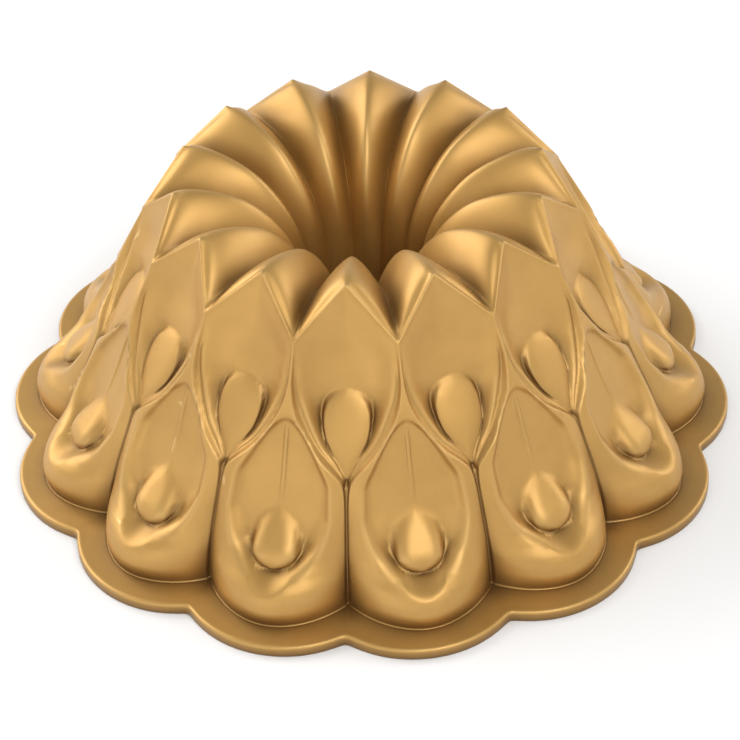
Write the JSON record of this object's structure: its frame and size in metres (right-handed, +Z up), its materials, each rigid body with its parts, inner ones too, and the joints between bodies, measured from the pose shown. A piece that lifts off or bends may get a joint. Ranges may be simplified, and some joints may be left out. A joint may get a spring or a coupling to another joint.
{
  "type": "bundt cake pan",
  "caption": "Cast fluted ring cake pan with a central tube, two tiers of sculpted petals, a pointed crown and a scalloped flange, set down open side first.",
  "frame": {"origin": "centre of the ring, on the surface that the flange rests on", "axes": "+Z up along the tube's axis, from the open side to the crown; an upper petal's middle faces -Y"},
  "size_m": [0.2664, 0.2616, 0.1041],
  "materials": {
    "champagne_gold_aluminium": "satin champagne-gold coated casting",
    "nonstick_lining": "smooth satin non-stick coating"
  },
  "bodies": {
    "root": {"pan_casting": "champagne_gold_aluminium", "nonstick_lining": "nonstick_lining"}
  },
  "joints": []
}
